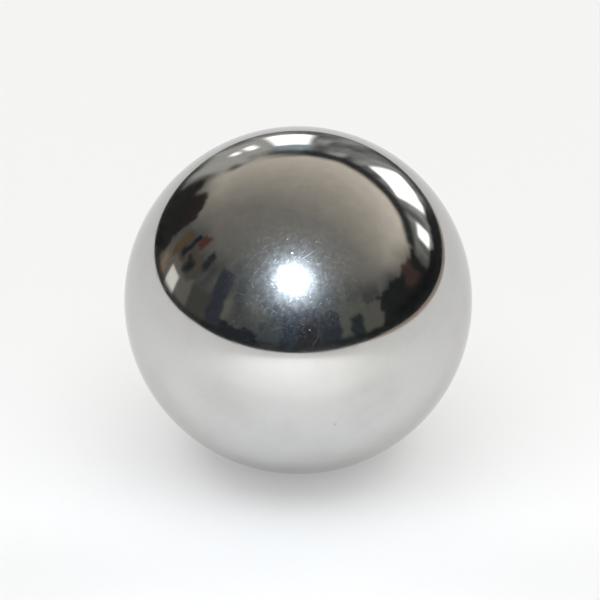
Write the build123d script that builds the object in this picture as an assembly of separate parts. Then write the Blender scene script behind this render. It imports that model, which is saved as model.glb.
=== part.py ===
from build123d import *
import os

# Ball magnet: one solid sphere of sintered neodymium-iron-boron, pressed, ground round, plated
# and polished to a mirror. The plating is a few hundredths of a millimetre thick and can't be
# taken off, so the ball is a single piece with no joints, no flats and no holes.
#
# Frame: millimetres, origin at the ball's centre, +Z up. The ball is magnetised along Z, so the
# two poles lie where its surface crosses the Z axis, and it clings to steel at either of them.

# Driving dimension
BALL_DIAMETER = 25.4  # over the plating; the one-inch stock size


def ball():
    """The whole magnet. Its seam runs from pole to pole along the magnetic axis."""
    sphere = Sphere(radius=BALL_DIAMETER / 2)
    sphere.label = "ball"
    return sphere


os.makedirs("parts", exist_ok=True)
export_step(ball(), "parts/ball.step")
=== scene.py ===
import math

import bpy
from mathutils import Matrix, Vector


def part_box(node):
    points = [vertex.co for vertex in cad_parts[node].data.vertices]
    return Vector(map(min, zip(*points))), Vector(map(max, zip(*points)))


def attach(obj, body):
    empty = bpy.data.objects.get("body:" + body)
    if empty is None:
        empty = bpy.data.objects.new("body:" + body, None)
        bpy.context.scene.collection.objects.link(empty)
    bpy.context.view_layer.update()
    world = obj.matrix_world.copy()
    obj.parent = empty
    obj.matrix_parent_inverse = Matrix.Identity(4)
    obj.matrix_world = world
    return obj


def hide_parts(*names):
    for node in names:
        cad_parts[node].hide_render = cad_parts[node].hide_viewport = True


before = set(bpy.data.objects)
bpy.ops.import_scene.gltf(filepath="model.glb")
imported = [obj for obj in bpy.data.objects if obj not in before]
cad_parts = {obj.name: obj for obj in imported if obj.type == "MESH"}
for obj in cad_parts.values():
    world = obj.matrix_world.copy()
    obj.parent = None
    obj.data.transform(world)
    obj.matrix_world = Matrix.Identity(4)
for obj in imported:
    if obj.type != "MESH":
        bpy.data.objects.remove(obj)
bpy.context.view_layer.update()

# ---------------------------------------------------------------------------------------------
# The magnet's skin: the outside of one solid sphere of sintered neodymium magnet.
# It is pressed and sintered, tumbled and ground round, then plated in nickel, copper and a
# bright top coat, and buffed to a mirror. Handling has left hairlines, pinpricks and a haze.
# ---------------------------------------------------------------------------------------------
ball_low, ball_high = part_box("ball")
BALL_DIAMETER = ball_high[2] - ball_low[2]
BALL_RADIUS = BALL_DIAMETER / 2
BALL_CENTRE = Vector((0, 0, 0))  # the frame's own origin
DIVISIONS = 96  # rows of faces across each of the six curved squares that make the sphere


def add_node(tree, kind, inputs=None, **settings):
    """A new node in the tree, with its settings, and each named socket linked or given its value."""
    node = tree.nodes.new(kind)
    for name, value in settings.items():
        setattr(node, name, value)
    for socket, value in (inputs or {}).items():
        if isinstance(value, bpy.types.NodeSocket):
            tree.links.new(value, node.inputs[socket])
        else:
            node.inputs[socket].default_value = value
    return node


def calculate(tree, operation, *values, clamp=False):
    """The result of a Math node on numbers or sockets."""
    node = add_node(tree, "ShaderNodeMath", dict(enumerate(values)), operation=operation)
    node.use_clamp = clamp
    return node.outputs["Value"]


def ease(tree, value, start, end, least=0.0, most=1.0):
    """A value that runs smoothly from least at the start to most at the end, and no further."""
    return add_node(tree, "ShaderNodeMapRange", {
        "Value": value,
        "From Min": start,
        "From Max": end,
        "To Min": least,
        "To Max": most,
    }, interpolation_type="SMOOTHSTEP").outputs[0]


def sphere_tree():
    """A sphere of six evenly divided squares, so that no faces crowd together at a pole."""
    tree = bpy.data.node_groups.new("ground_sphere", "GeometryNodeTree")
    sockets = tree.interface
    sockets.new_socket("Diameter", in_out="INPUT", socket_type="NodeSocketFloat")
    sockets.new_socket("Divisions", in_out="INPUT", socket_type="NodeSocketInt")
    sockets.new_socket("Centre", in_out="INPUT", socket_type="NodeSocketVector")
    sockets.new_socket("Skin", in_out="INPUT", socket_type="NodeSocketMaterial")
    sockets.new_socket("Ball", in_out="OUTPUT", socket_type="NodeSocketGeometry")
    given = add_node(tree, "NodeGroupInput").outputs
    rows = calculate(tree, "ADD", given["Divisions"], 1)
    cube = add_node(tree, "GeometryNodeMeshCube", {
        "Size": (2, 2, 2),
        "Vertices X": rows,
        "Vertices Y": rows,
        "Vertices Z": rows,
    })
    place = add_node(tree, "GeometryNodeInputPosition")
    flat = add_node(tree, "ShaderNodeSeparateXYZ", {0: place.outputs[0]})
    even = add_node(tree, "ShaderNodeCombineXYZ")
    for axis in range(3):
        angle = calculate(tree, "MULTIPLY", flat.outputs[axis], math.pi / 4)
        tree.links.new(calculate(tree, "TANGENT", angle), even.inputs[axis])
    outward = add_node(tree, "ShaderNodeVectorMath", {0: even.outputs[0]}, operation="NORMALIZE")
    radius = calculate(tree, "MULTIPLY", given["Diameter"], 0.5)
    round_place = add_node(tree, "ShaderNodeVectorMath", {0: outward.outputs[0], "Scale": radius},
                           operation="SCALE")
    centred = add_node(tree, "ShaderNodeVectorMath", {0: round_place.outputs[0], 1: given["Centre"]},
                       operation="ADD")
    ground = add_node(tree, "GeometryNodeSetPosition", {
        "Geometry": cube.outputs["Mesh"],
        "Position": centred.outputs[0],
    })
    smooth = add_node(tree, "GeometryNodeSetShadeSmooth", {"Geometry": ground.outputs[0]})
    real = add_node(tree, "GeometryNodeRealizeInstances", {"Geometry": smooth.outputs[0]})
    skinned = add_node(tree, "GeometryNodeSetMaterial", {
        "Geometry": real.outputs[0],
        "Material": given["Skin"],
    })
    add_node(tree, "NodeGroupOutput", {"Ball": skinned.outputs[0]})
    return tree


def mesh_from_tree(name, tree, values):
    """The plain mesh that a geometry tree makes from the values of its named inputs."""
    maker = bpy.data.objects.new(name + "_maker", bpy.data.meshes.new(name + "_blank"))
    bpy.context.scene.collection.objects.link(maker)
    modifier = maker.modifiers.new("make", "NODES")
    modifier.node_group = tree
    for item in tree.interface.items_tree:
        if item.in_out == "INPUT":
            modifier[item.identifier] = values[item.name]
    bpy.context.view_layer.update()
    graph = bpy.context.evaluated_depsgraph_get()
    mesh = bpy.data.meshes.new_from_object(maker.evaluated_get(graph), depsgraph=graph)
    mesh.name = name
    maker.modifiers.clear()
    bpy.data.objects.remove(maker)
    return mesh


# The finish. Its lengths are in millimetres on the ball
MM_PER_METRE = 1000
PLATING_COLOUR = (0.60, 0.597, 0.585, 1)
FILM_COLOUR = (0.565, 0.56, 0.545, 1)  # where a thin film of handling grease lies on it
GRAZING_TINT = (0.80, 0.80, 0.80, 1)  # bright plating mirrors less at a grazing look than pure metal
MIRROR_ROUGHNESS = 0.054
SMUDGE_ROUGHNESS = 0.03  # added to the mirror's roughness where a smudge lies
LINE_ROUGHNESS = 0.02  # and where a line is scratched
DUST_ROUGHNESS = 0.12  # and where a speck of dust sits
HAZE_ROUGHNESS = 0.32
HAZE_IOR = 1.5
HAZE_CLEAN = 0.20  # how much haze there is on clean plating
HAZE_MOTTLED = 0.17  # and how much more on its mottled parts
HAZE_MARKED = 0.36  # and on its lines and specks
WAVE_CELL = 6.25  # grinding leaves the ball very slightly wavy, in waves about this long
WAVE_HEIGHT = 0.01
MARK_DEPTH = 0.0004
DASH_SIZE = (1.7, 0.21, 0.21)  # short handling dashes: run, width and depth of the noise cell
DASH_TURNS = (
    (12, 35, 0),
    (75, -20, 40),
    (-40, 60, 110),
    (150, 10, -65),
    (-95, -50, 25),
    (20, 80, 160),
)
HAIRLINE_SIZE = (14.0, 0.26, 0.26)  # long buffing hairlines
HAIRLINE_TURNS = ((35, 15, 70), (-60, 25, -20), (100, -35, 130))
HAIRLINE_STRENGTH = 0.6  # next to a dash
LINE_CREST = (0.68, 0.78)  # the levels of the noise at which a line starts and is full
LAYER_STEP = Vector((17.3, 23.1, 5.7))  # takes each layer of lines to a fresh part of the noise
DUST = (1.0, 0.09, 0.45)  # cell, radius of a speck, and the share of cells that hold one
FINE_DUST = (0.42, 0.06, 0.45)
SMUDGES = (4.5, 4.0, 0.42, 0.72)  # cell, detail, and the levels at which a patch starts and is full
MOTTLE = (0.34, 3.0, 0.36, 0.68)
# Single marks on the front, each with its place, its turn, and its half length, width and depth
# A small darker spot on the front: its place, turn, and half length, width and depth
DARK_SPOT = ((2.62, -12.08, -2.91), (0, 24, 0), (0.045, 0.20, 0.22))
DARK_SPOT_COLOUR = (0.33, 0.325, 0.315, 1)
SCRATCHES = (
    ((0.69, -8.78, 9.15), (39.7, -20.4, 27.2), (0.85, 0.07, 0.30)),
    ((1.53, -8.01, 9.73), (33.4, 23.3, -20.2), (0.34, 0.07, 0.30)),
    ((-1.68, -11.10, 5.94), (59.7, 22.1, -21.0), (0.36, 0.06, 0.30)),
)


def streaks(tree, place, size, turns):
    """1 along the crests of stretched noise, laid in several directions, and 0 elsewhere."""
    strongest = None
    for number, turn in enumerate(turns):
        laid = add_node(tree, "ShaderNodeMapping", {
            "Vector": place,
            "Location": LAYER_STEP * number,
            "Rotation": [math.radians(angle) for angle in turn],
            "Scale": size,
        }, vector_type="TEXTURE")
        grain = add_node(tree, "ShaderNodeTexNoise", {
            "Vector": laid.outputs[0],
            "Scale": 1.0,
            "Detail": 1.0,
            "Roughness": 0.6,
            "Distortion": 0.2,
        })
        crest = ease(tree, grain.outputs[0], *LINE_CREST)
        strongest = crest if strongest is None else calculate(tree, "MAXIMUM", strongest, crest)
    return strongest


def speckle(tree, place, cell, radius, share):
    """1 in small round specks, one in some of the cells, and 0 elsewhere."""
    cells = add_node(tree, "ShaderNodeTexVoronoi", {
        "Vector": place,
        "Scale": 1 / cell,
        "Randomness": 1.0,
    })
    chosen = calculate(tree, "LESS_THAN", cells.outputs["Color"], share)
    dot = ease(tree, cells.outputs["Distance"], radius / cell, radius / cell / 2)
    return calculate(tree, "MULTIPLY", dot, chosen)


def patches(tree, place, cell, detail, low, high):
    """Soft patches about one cell across, running from 0 to 1."""
    noise = add_node(tree, "ShaderNodeTexNoise", {
        "Vector": place,
        "Scale": 1 / cell,
        "Detail": detail,
        "Roughness": 0.6,
    })
    return ease(tree, noise.outputs[0], low, high)


def single_mark(tree, place, at, turn, size):
    """1 in the middle of one small stretched spot, fading to 0 at its edge."""
    from_mark = add_node(tree, "ShaderNodeMapping", {
        "Vector": place,
        "Location": at,
        "Rotation": [math.radians(angle) for angle in turn],
        "Scale": size,
    }, vector_type="TEXTURE")
    reach = add_node(tree, "ShaderNodeVectorMath", {0: from_mark.outputs[0]}, operation="LENGTH")
    return ease(tree, reach.outputs["Value"], 1.0, 0.4)


def blend(tree, amount, under, over):
    """Colour over, laid on colour under by the amount. A Mix node keeps its colours in 6, 7 and 2."""
    return add_node(tree, "ShaderNodeMix", {0: amount, 6: under, 7: over}, data_type="RGBA").outputs[2]


def plating_material():
    """Bright plating over a ground ball, with the marks that handling leaves."""
    skin = bpy.data.materials.new("mirror_plating")
    skin.use_nodes = True
    tree = skin.node_tree
    tree.nodes.clear()
    place = add_node(tree, "ShaderNodeTexCoord").outputs["Object"]
    in_mm = add_node(tree, "ShaderNodeVectorMath", {0: place, "Scale": MM_PER_METRE},
                     operation="SCALE").outputs[0]

    dashes = streaks(tree, in_mm, DASH_SIZE, DASH_TURNS)
    hairlines = streaks(tree, in_mm, HAIRLINE_SIZE, HAIRLINE_TURNS)
    lines = calculate(tree, "MAXIMUM", dashes, calculate(tree, "MULTIPLY", hairlines, HAIRLINE_STRENGTH))
    for at, turn, size in SCRATCHES:
        lines = calculate(tree, "MAXIMUM", lines, single_mark(tree, in_mm, at, turn, size))
    dust = speckle(tree, in_mm, *DUST)
    fine_dust = speckle(tree, in_mm, *FINE_DUST)
    smudges = patches(tree, in_mm, *SMUDGES)
    mottle = patches(tree, in_mm, *MOTTLE)

    # A small darker spot on the front, no bigger than a grain of salt
    filmed = blend(tree, smudges, PLATING_COLOUR, FILM_COLOUR)
    colour = blend(tree, single_mark(tree, in_mm, *DARK_SPOT), filmed, DARK_SPOT_COLOUR)

    # The mirror is a little duller at smudges, lines and specks
    dulled = calculate(tree, "MULTIPLY_ADD", smudges, SMUDGE_ROUGHNESS, MIRROR_ROUGHNESS)
    lined = calculate(tree, "MULTIPLY_ADD", lines, LINE_ROUGHNESS, dulled)
    roughness = calculate(tree, "MULTIPLY_ADD", dust, DUST_ROUGHNESS, lined)

    # The haze is the glow that fine scratches throw round a bright lamp, so it follows them
    worn = calculate(tree, "MULTIPLY_ADD", mottle, HAZE_MOTTLED, HAZE_CLEAN)
    marks = calculate(tree, "MAXIMUM", lines, calculate(tree, "MAXIMUM", dust, fine_dust))
    haze = calculate(tree, "MULTIPLY_ADD", marks, HAZE_MARKED, worn, clamp=True)

    # The ground surface: a barely wavy ball, with the marks cut into it
    waves = add_node(tree, "ShaderNodeTexNoise", {
        "Vector": in_mm,
        "Scale": 1 / WAVE_CELL,
        "Detail": 1.0,
    })
    wavy = add_node(tree, "ShaderNodeBump", {
        "Height": waves.outputs[0],
        "Distance": WAVE_HEIGHT / MM_PER_METRE,
        "Strength": 1.0,
    })
    cut = add_node(tree, "ShaderNodeBump", {
        "Height": calculate(tree, "MAXIMUM", lines, dust),
        "Distance": MARK_DEPTH / MM_PER_METRE,
        "Strength": 1.0,
        "Normal": wavy.outputs[0],
    }, invert=True)

    metal = add_node(tree, "ShaderNodeBsdfPrincipled", {
        "Base Color": colour,
        "Metallic": 1.0,
        "Roughness": roughness,
        "Specular Tint": GRAZING_TINT,
        "Coat Weight": haze,
        "Coat Roughness": HAZE_ROUGHNESS,
        "Coat IOR": HAZE_IOR,
        "Normal": cut.outputs[0],
    })
    add_node(tree, "ShaderNodeOutputMaterial", {"Surface": metal.outputs[0]})
    return skin


skin_mesh = mesh_from_tree("ball_skin", sphere_tree(), {
    "Diameter": BALL_DIAMETER,
    "Divisions": DIVISIONS,
    "Centre": BALL_CENTRE,
    "Skin": plating_material(),
})
ball_skin = bpy.data.objects.new("ball_skin", skin_mesh)
bpy.context.scene.collection.objects.link(ball_skin)
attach(ball_skin, "root")
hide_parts("ball")

# ---------------------------------------------------------------------------------------------
# The table and the white sheet: a plain pale top, and a wide sheet of white card laid flat on
# it. The ball stands on the sheet and nothing holds it there. Both are surroundings that the
# mirror shows, and not pieces of the magnet.
# ---------------------------------------------------------------------------------------------
FLOOR = BALL_CENTRE.z - BALL_RADIUS
SHEET_LIFT = 0.0001  # metres from the table up to the face of the sheet
SHEET_WHITE = (0.86, 0.865, 0.875, 1)
TABLE_BEIGE = (0.40, 0.33, 0.28, 1)
# Reaches and edges below are in ball radii from the point where the ball stands
SHEET_REACH = (60, 19, 24, 40)  # left, right, near and far
TABLE_REACH = (60, 42, 25, 42)
SHOWN_SHARE = 0.55  # the part of the seen sheet that is an even white; the lamps light the rest
SHOWN_WHITE = 0.922  # the strength of that even white
PAINTED_SIDE_SHADE = 0.11  # painted shade: what the even white loses away to the left and right
PAINTED_SIDE_REACH = (1.6, 6)  # where that painted shade starts and ends
PAINTED_SPILL_SHADE = 0.17  # painted shade: what the even white gives up where the fore lamp spills onto the sheet, so that the sheet stays even there
SPILL_SHADE_ACROSS = (-2.1, 2.1, 0.9)  # the painted shade's left, right and soft edge
SPILL_SHADE_ALONG = (-2.3, -1.0, 0.4)  # its near, far and soft edge
PAINTED_SHADE_REACH = (0.30, 0.82)  # over this stretch from the contact the even white fades in, a painted shade round the ball over its real shadow
PAINTED_SHADE_LEFT = 0.45  # the part of the even white that is left under the ball, where that painted shade is deepest


def between(tree, value, low, high, soft):
    """1 where the value is between low and high, fading to 0 over a soft edge."""
    rising = ease(tree, value, low - soft, low + soft)
    falling = ease(tree, value, high + soft, high - soft)
    return calculate(tree, "MULTIPLY", rising, falling)


def flat_finish(name, colour, shown_share):
    """A matt colour; eye and mirror see the shown share of it as a white, even but for painted shade at the
    sides, under the fore lamp's spill and round the ball.
    """
    finish = bpy.data.materials.new(name)
    finish.use_nodes = True
    finish.cycles.emission_sampling = "NONE"
    tree = finish.node_tree
    tree.nodes.clear()
    place = add_node(tree, "ShaderNodeTexCoord").outputs["Object"]
    in_radii = add_node(tree, "ShaderNodeVectorMath", {0: place, "Scale": 1 / BALL_RADIUS},
                        operation="SCALE").outputs[0]
    across, along, _ = add_node(tree, "ShaderNodeSeparateXYZ", {0: in_radii}).outputs

    # Painted shade: the even white grows darker away to the ball's left and right
    side_shade_mask = ease(tree, calculate(tree, "ABSOLUTE", across), *PAINTED_SIDE_REACH)
    side_shaded_white = calculate(tree, "MULTIPLY_ADD", side_shade_mask, -PAINTED_SIDE_SHADE, SHOWN_WHITE)
    # Painted shade: the even white is darker where the fore lamp spills onto the sheet
    spill_shade_mask = calculate(tree, "MULTIPLY", between(tree, along, *SPILL_SHADE_ALONG),
                      between(tree, across, *SPILL_SHADE_ACROSS))
    white = calculate(tree, "MULTIPLY_ADD", spill_shade_mask, -PAINTED_SPILL_SHADE, side_shaded_white)

    # Close to the ball the even white fades away, a painted shade that also lays bare the lamps' real shadow
    # of the ball
    level = add_node(tree, "ShaderNodeCombineXYZ", {0: across, 1: along}).outputs[0]
    from_ball = add_node(tree, "ShaderNodeVectorMath", {0: level}, operation="LENGTH").outputs["Value"]
    share = ease(tree, from_ball, *PAINTED_SHADE_REACH, PAINTED_SHADE_LEFT * shown_share, shown_share)

    ray = add_node(tree, "ShaderNodeLightPath").outputs
    seen_or_mirrored = calculate(tree, "ADD", ray["Is Camera Ray"], ray["Is Glossy Ray"])
    shown = calculate(tree, "ADD", seen_or_mirrored, ray["Is Transmission Ray"], clamp=True)
    surface = add_node(tree, "ShaderNodeMixShader", {
        0: calculate(tree, "MULTIPLY", shown, share),
        1: add_node(tree, "ShaderNodeBsdfDiffuse", {"Color": colour}).outputs[0],
        2: add_node(tree, "ShaderNodeEmission", {"Color": (1, 1, 1, 1), "Strength": white}).outputs[0],
    })
    add_node(tree, "ShaderNodeOutputMaterial", {"Surface": surface.outputs[0]})
    return finish


def flat_top(name, reach, height, finish):
    """A flat rectangle that reaches so far to the left, right, near and far of the ball."""
    left, right, near, far = [BALL_RADIUS * edge for edge in reach]
    mesh = bpy.data.meshes.new(name)
    corners = [(-left, -near, height), (right, -near, height), (right, far, height), (-left, far, height)]
    mesh.from_pydata(corners, [], [(0, 1, 2, 3)])
    mesh.materials.append(finish)
    top = bpy.data.objects.new(name, mesh)
    bpy.context.scene.collection.objects.link(top)


flat_top("table", TABLE_REACH, FLOOR - SHEET_LIFT, flat_finish("table_finish", TABLE_BEIGE, shown_share=0.0))
flat_top("white_sheet", SHEET_REACH, FLOOR, flat_finish("white_sheet_finish", SHEET_WHITE, SHOWN_SHARE))

# ---------------------------------------------------------------------------------------------
# The room: a plain dim studio for the mirror to show, with a warm ceiling, a bay of bright
# openings under a dark rail, and vague dark walls. It isn't built but painted round the ball, by
# azimuth and elevation in degrees. Azimuth 0 is straight away from the camera, 90 to its right.
# ---------------------------------------------------------------------------------------------
room = bpy.data.worlds.new("room")
bpy.context.scene.world = room
room.use_nodes = True
walls = room.node_tree
walls.nodes.clear()

outward = add_node(walls, "ShaderNodeTexCoord").outputs["Generated"]
east, north, up = add_node(walls, "ShaderNodeSeparateXYZ", {0: outward}).outputs
azimuth = calculate(walls, "DEGREES", calculate(walls, "ARCTAN2", east, north))
elevation = calculate(walls, "DEGREES", calculate(walls, "ARCSINE", up))
compass = add_node(walls, "ShaderNodeCombineXYZ", {0: azimuth, 1: elevation}).outputs[0]


def colour_steps(position, steps):
    """A colour that runs through the steps, each a position from 0 to 1 and a colour."""
    node = add_node(walls, "ShaderNodeValToRGB", {"Fac": position})
    ramp = node.color_ramp
    while len(ramp.elements) < len(steps):
        ramp.elements.new(0.5)
    for element, (place, colour) in zip(ramp.elements, steps):
        element.position = place
        element.color = (*colour, 1)
    return node.outputs["Color"]


def room_noise(cell, detail):
    """Noise over the room, in cells of that many degrees across and up."""
    laid = add_node(walls, "ShaderNodeMapping", {"Vector": compass, "Scale": (*cell, 1)},
                    vector_type="TEXTURE")
    return add_node(walls, "ShaderNodeTexNoise", {
        "Vector": laid.outputs[0],
        "Scale": 1.0,
        "Detail": detail,
    }).outputs[0]


def bent(angle, bend, cell, detail):
    """The angle, pushed either way by noise, so that an edge at one value of it isn't straight."""
    push = calculate(walls, "SUBTRACT", room_noise(cell, detail), 0.5)
    return calculate(walls, "MULTIPLY_ADD", push, bend, angle)


def pane(across, upward, bounds, soft_across, soft_upward):
    """1 inside the bounds, which are left, right, low and high, fading to 0 over soft edges."""
    left, right, low, high = bounds
    return calculate(walls, "MULTIPLY", between(walls, across, left, right, soft_across),
                     between(walls, upward, low, high, soft_upward))


# Ceiling: a flat one of brushed plaster, brighter towards the openings
OPENING_SIDE = math.radians(25)  # the azimuth that the light of the bay comes from
CEILING_LOW = 0.2  # the sine of the elevation under which the tone no longer changes with height
CEILING_RUN = 2.0  # how far its tones run each way, in its own heights above the table
CEILING_TONES = (
    (0.0, (0.08, 0.08, 0.072)),
    (0.30, (0.14, 0.135, 0.12)),
    (0.50, (0.23, 0.215, 0.19)),
    (0.65, (0.49, 0.445, 0.38)),
    (0.80, (0.74, 0.67, 0.575)),
    (1.0, (0.86, 0.80, 0.70)),
)
PLASTER_GRAIN = 9.0  # cells of brushed noise to the unit of direction
PLASTER_DARK = 0.82  # the plaster's tone runs from this share of its colour
PLASTER_DEPTH = 0.36  # to so much more of it
forward = calculate(walls, "ADD",
                    calculate(walls, "MULTIPLY", east, math.sin(OPENING_SIDE)),
                    calculate(walls, "MULTIPLY", north, math.cos(OPENING_SIDE)))
along_ceiling = calculate(walls, "DIVIDE", forward, calculate(walls, "MAXIMUM", up, CEILING_LOW))
ceiling_run = add_node(walls, "ShaderNodeMapRange", {
    "Value": along_ceiling,
    "From Min": -CEILING_RUN,
    "From Max": CEILING_RUN,
}).outputs[0]
plaster = add_node(walls, "ShaderNodeTexNoise", {
    "Vector": outward,
    "Scale": PLASTER_GRAIN,
    "Detail": 5.0,
    "Roughness": 0.7,
}).outputs[0]
ceiling = add_node(walls, "ShaderNodeVectorMath", {
    0: colour_steps(ceiling_run, CEILING_TONES),
    "Scale": calculate(walls, "MULTIPLY_ADD", plaster, PLASTER_DEPTH, PLASTER_DARK),
}, operation="SCALE").outputs[0]

# Walls: dim and uneven, as a furnished room's are, and dissolving into the ceiling
WALL_CELL = (14, 30)
WALL_TONES = (
    (0.35, (0.045, 0.047, 0.048)),
    (0.50, (0.085, 0.086, 0.078)),
    (0.65, (0.140, 0.136, 0.118)),
)
CEILING_DROP = 13.0  # degrees by which the ceiling starts lower towards the openings
CEILING_EDGE = (14.0, 34.0)  # over these elevations the wall turns into ceiling
CEILING_BEND = 14.0  # degrees by which noise moves that edge
CEILING_CELL = (25, 25)
dropped = calculate(walls, "MULTIPLY_ADD", forward, CEILING_DROP, elevation)
over_wall = calculate(walls, "MULTIPLY_ADD", room_noise(CEILING_CELL, detail=2.0), -CEILING_BEND, dropped)
seen = blend(walls, ease(walls, over_wall, *CEILING_EDGE),
             colour_steps(room_noise(WALL_CELL, detail=3.0), WALL_TONES), ceiling)

# What stands in the room: the bounds and the tone of each vague block of it, with -20 well under
# the table's edge. Its edges are bent by noise, so that nothing in it can be read
BLOCK_BEND = 10.0
BLOCK_SOFT = 1.2
AZIMUTH_CELL = (9, 6)
ELEVATION_CELL = (5, 12)
BLOCKS = (
    (-190, -114, -20, 8, (0.010, 0.012, 0.018)),
    (-190, -169, -20, 25, (0.016, 0.024, 0.034)),
    (-169, -154, -20, 15, (0.048, 0.055, 0.056)),
    (-127, -114, 2, 36, (0.030, 0.034, 0.044)),
    (-114, -68, -20, 17, (0.150, 0.142, 0.122)),
    (-96, -69, 15, 29, (0.090, 0.074, 0.060)),
    (-73, -69, 13, 25, (0.125, 0.078, 0.038)),
    (-81, -76, 18, 32, (0.012, 0.017, 0.020)),
    (-91, -85, 14, 24, (0.014, 0.018, 0.018)),
    (-88, -81, 30, 38, (0.095, 0.036, 0.028)),
    (-103, -97, 25, 37, (0.020, 0.022, 0.025)),
    (-116, -100, -20, 18, (0.062, 0.060, 0.052)),
    (-72, -66, 1, 9, (0.26, 0.19, 0.12)),
    (-63, -44, -20, 30, (0.026, 0.020, 0.020)),
    (-62, -34, -20, 21, (0.020, 0.020, 0.019)),
    (-60, -24, -20, 5, (0.004, 0.005, 0.005)),
    (78, 122, -20, 21, (0.014, 0.015, 0.014)),
    (84, 96, 10, 22, (0.060, 0.036, 0.032)),
    (122, 132, -20, 19, (0.110, 0.106, 0.090)),
    (132, 152, -20, 25, (0.105, 0.108, 0.088)),
    (136, 145, -20, 16, (0.016, 0.022, 0.022)),
    (152, 166, -20, 22, (0.020, 0.024, 0.030)),
    (166, 190, -20, 26, (0.016, 0.009, 0.012)),
)
bent_azimuth = bent(azimuth, BLOCK_BEND, AZIMUTH_CELL, detail=3.0)
bent_elevation = bent(elevation, BLOCK_BEND, ELEVATION_CELL, detail=3.0)
for *bounds, tone in BLOCKS:
    block = pane(bent_azimuth, bent_elevation, bounds, BLOCK_SOFT, BLOCK_SOFT)
    seen = blend(walls, block, seen, (*tone, 1))

# The bay, which reaches up to the rail: grey between its openings and white where they are open
BAY = (-30, 72, -1.5, 60)
BAY_SOFT = (3, 2)
BAY_TOP = (2, -2)  # the bay comes in over these degrees, from just over the rail's middle line
BAY_CELL = (7, 20)
BAY_TONES = (
    (0.35, (0.10, 0.102, 0.10)),
    (0.50, (0.25, 0.25, 0.24)),
    (0.65, (0.47, 0.47, 0.45)),
)
CURTAIN = (-30, -8, 5, 27)  # a pale curtain to the left of the first opening
CURTAIN_TONE = (0.50, 0.49, 0.46, 1)
TOP_LIGHT = (-8.5, 4.5, 21, 30)  # the bluish top light over it
TOP_LIGHT_TONE = (0.32, 0.42, 0.49, 1)
PALE_SHARE = 0.85  # how much of the bay the curtain and the top light cover
PALE_SOFT = 2.5
OPENINGS = (
    (-7.2, 3.2, 6, 23),
    (27, 46, 7, 24),
    (57, 65, 9, 17),
    (-15, -12.3, 13, 19.5),
    (-19.3, -17.3, 13, 17.5),
)
OPENING_WHITE = (2.6, 2.6, 2.55, 1)
OPENING_SOFT = 1.5
CARD = (-87, -77, 1, 11)  # a white card that stands to the left, away from the bay
CARD_WHITE = (0.9, 0.88, 0.82, 1)
CARD_SOFT = 0.8
RAIL_HEIGHT = 34.5  # the elevation of the rail at azimuth 0
RAIL_BOW = 0.0024  # its drop to either side, in degrees for each degree of azimuth squared
RAIL_BEND = 5.0
RAIL_CELL = (18, 60)
azimuth_squared = calculate(walls, "MULTIPLY", azimuth, azimuth)
rail_height = calculate(walls, "MULTIPLY_ADD", azimuth_squared, -RAIL_BOW, RAIL_HEIGHT)
over_rail = calculate(walls, "SUBTRACT", bent(elevation, RAIL_BEND, RAIL_CELL, detail=1.0), rail_height)
bay = calculate(walls, "MULTIPLY", pane(azimuth, elevation, BAY, *BAY_SOFT),
                ease(walls, over_rail, *BAY_TOP))
seen = blend(walls, bay, seen, colour_steps(room_noise(BAY_CELL, detail=2.0), BAY_TONES))
for bounds, tone in ((CURTAIN, CURTAIN_TONE), (TOP_LIGHT, TOP_LIGHT_TONE)):
    pale = pane(azimuth, elevation, bounds, PALE_SOFT, PALE_SOFT)
    seen = blend(walls, calculate(walls, "MULTIPLY", pale, PALE_SHARE), seen, tone)
for bounds in OPENINGS:
    seen = blend(walls, pane(azimuth, elevation, bounds, OPENING_SOFT, OPENING_SOFT), seen, OPENING_WHITE)
seen = blend(walls, pane(azimuth, elevation, CARD, CARD_SOFT, CARD_SOFT), seen, CARD_WHITE)

# The dark rail that arches over the bay
RAIL_HALF_WIDTH = 3.6
RAIL_SOFT = 2.2
RAIL_STARTS = (-28, 8)  # azimuths over which it comes out of the dark
RAIL_ENDS = (74, 78)
RAIL_TONE = (0.022, 0.024, 0.024, 1)
starting = ease(walls, azimuth, *RAIL_STARTS)
ending = ease(walls, azimuth, *RAIL_ENDS, 1.0, 0.0)
rail = calculate(walls, "MULTIPLY", between(walls, over_rail, -RAIL_HALF_WIDTH, RAIL_HALF_WIDTH, RAIL_SOFT),
                 calculate(walls, "MULTIPLY", starting, ending))
seen = blend(walls, rail, seen, RAIL_TONE)

# The dark foot of the walls, behind the far and right edges of the table
RIGHT_FEET = ((38, 117, -20, 7), (113, 190, -20, 3))
RIGHT_FOOT_SOFT = 3
RIGHT_FOOT_TONE = (0.004, 0.005, 0.005, 1)
FOOT = (-20, 2.5)  # a lower foot runs all the way round
FOOT_SOFT = 1.5
FOOT_TONE = (0.008, 0.009, 0.009, 1)
FOOT_SHARE = 0.8
FOOT_PALER = 0.68  # what it loses of that share below the first opening
FOOT_PALER_REACH = (-21, 16, 5)  # the azimuths of that stretch, and its soft edge
for bounds in RIGHT_FEET:
    right_foot = pane(azimuth, bent_elevation, bounds, RIGHT_FOOT_SOFT, FOOT_SOFT)
    seen = blend(walls, right_foot, seen, RIGHT_FOOT_TONE)
foot = between(walls, elevation, *FOOT, FOOT_SOFT)
foot_share = calculate(walls, "MULTIPLY_ADD", between(walls, azimuth, *FOOT_PALER_REACH),
                       -FOOT_PALER, FOOT_SHARE)
seen = blend(walls, calculate(walls, "MULTIPLY", foot, foot_share), seen, FOOT_TONE)

glow = add_node(walls, "ShaderNodeBackground", {"Color": seen, "Strength": 1.0})
add_node(walls, "ShaderNodeOutputWorld", {"Surface": glow.outputs[0]})

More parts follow.
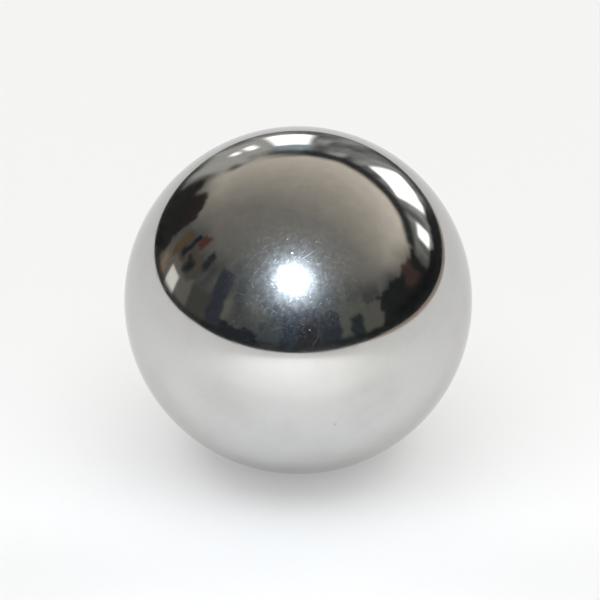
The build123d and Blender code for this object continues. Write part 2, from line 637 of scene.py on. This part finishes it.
# ---------------------------------------------------------------------------------------------
# The lamps: a broad soft one overhead, a weak low one that lifts the floor in front, and a small
# bluish flash over the camera, which alone shows in the mirror, as its highlight. Places and
# sizes are in ball radii from the ball's centre.
# ---------------------------------------------------------------------------------------------
AT_BALL = Vector((0, 0, 0))
OVERHEAD_PLACE = Vector((0, 0, 80))
OVERHEAD_WIDTH = 120
OVERHEAD_WATTS = 12.2
FORE_PLACE = Vector((0, -7, 1))
FORE_TARGET = Vector((0, -7, -1))  # on the sheet, straight under it
FORE_WIDTH = 8
FORE_LENGTH = 9
FORE_WATTS = 0.047
FLASH_DISTANCE = 27
FLASH_AZIMUTH = -175.3  # a little to the left of the camera
FLASH_ELEVATION = 44.3
FLASH_WIDTH = 1.4
FLASH_WATTS = 11.3
FLASH_BLUE = (0.73, 0.86, 1.0)


def direction(azimuth_degrees, elevation_degrees):
    """A unit vector; azimuth 0 is away from the camera and 90 is to its right."""
    around = math.radians(azimuth_degrees)
    over = math.radians(elevation_degrees)
    return Vector((math.sin(around) * math.cos(over), math.cos(around) * math.cos(over), math.sin(over)))


def aim(thing, place, target):
    """Puts a lamp or a camera at its place, looking at the target."""
    thing.location = BALL_CENTRE + place * BALL_RADIUS
    thing.rotation_euler = (target - place).to_track_quat("-Z", "Y").to_euler()


def round_lamp(name, place, target, width, watts):
    """A soft lamp of that width, aimed at the target."""
    data = bpy.data.lights.new(name, "AREA")
    data.shape = "DISK"
    data.size = width * BALL_RADIUS
    data.energy = watts
    lamp = bpy.data.objects.new(name, data)
    bpy.context.scene.collection.objects.link(lamp)
    aim(lamp, place, target)
    return lamp


overhead = round_lamp("overhead", OVERHEAD_PLACE, AT_BALL, OVERHEAD_WIDTH, OVERHEAD_WATTS)
fore = round_lamp("fore", FORE_PLACE, FORE_TARGET, FORE_WIDTH, FORE_WATTS)
fore.data.shape = "ELLIPSE"
fore.data.size_y = FORE_LENGTH * BALL_RADIUS
for lamp in (overhead, fore):
    lamp.visible_glossy = False
    lamp.visible_camera = False

flash_place = direction(FLASH_AZIMUTH, FLASH_ELEVATION) * FLASH_DISTANCE
flash = round_lamp("flash", flash_place, AT_BALL, FLASH_WIDTH, FLASH_WATTS)
flash.data.color = FLASH_BLUE
flash.visible_diffuse = False

# ---------------------------------------------------------------------------------------------
# The camera: a long lens that looks down on the ball from well away, so that the ball stays
# round in the frame. Its places are in ball radii, like the lamps'.
# ---------------------------------------------------------------------------------------------
CAMERA_DISTANCE = 25
CAMERA_ELEVATION = 31.8
CAMERA_TARGET = Vector((0.0104, 0, 0))  # a hair to the right of the ball's centre
HALF_VIEW = math.radians(3.948)
FARTHEST = 400  # nothing is drawn beyond this, nor within one radius of the lens
camera_data = bpy.data.cameras.new("camera")
camera_data.lens = camera_data.sensor_width / 2 / math.tan(HALF_VIEW)
camera_data.clip_start = BALL_RADIUS
camera_data.clip_end = FARTHEST * BALL_RADIUS
camera = bpy.data.objects.new("camera", camera_data)
bpy.context.scene.collection.objects.link(camera)
aim(camera, direction(180, CAMERA_ELEVATION) * CAMERA_DISTANCE, CAMERA_TARGET)
bpy.context.scene.camera = camera
bpy.context.scene.view_settings.view_transform = "Standard"
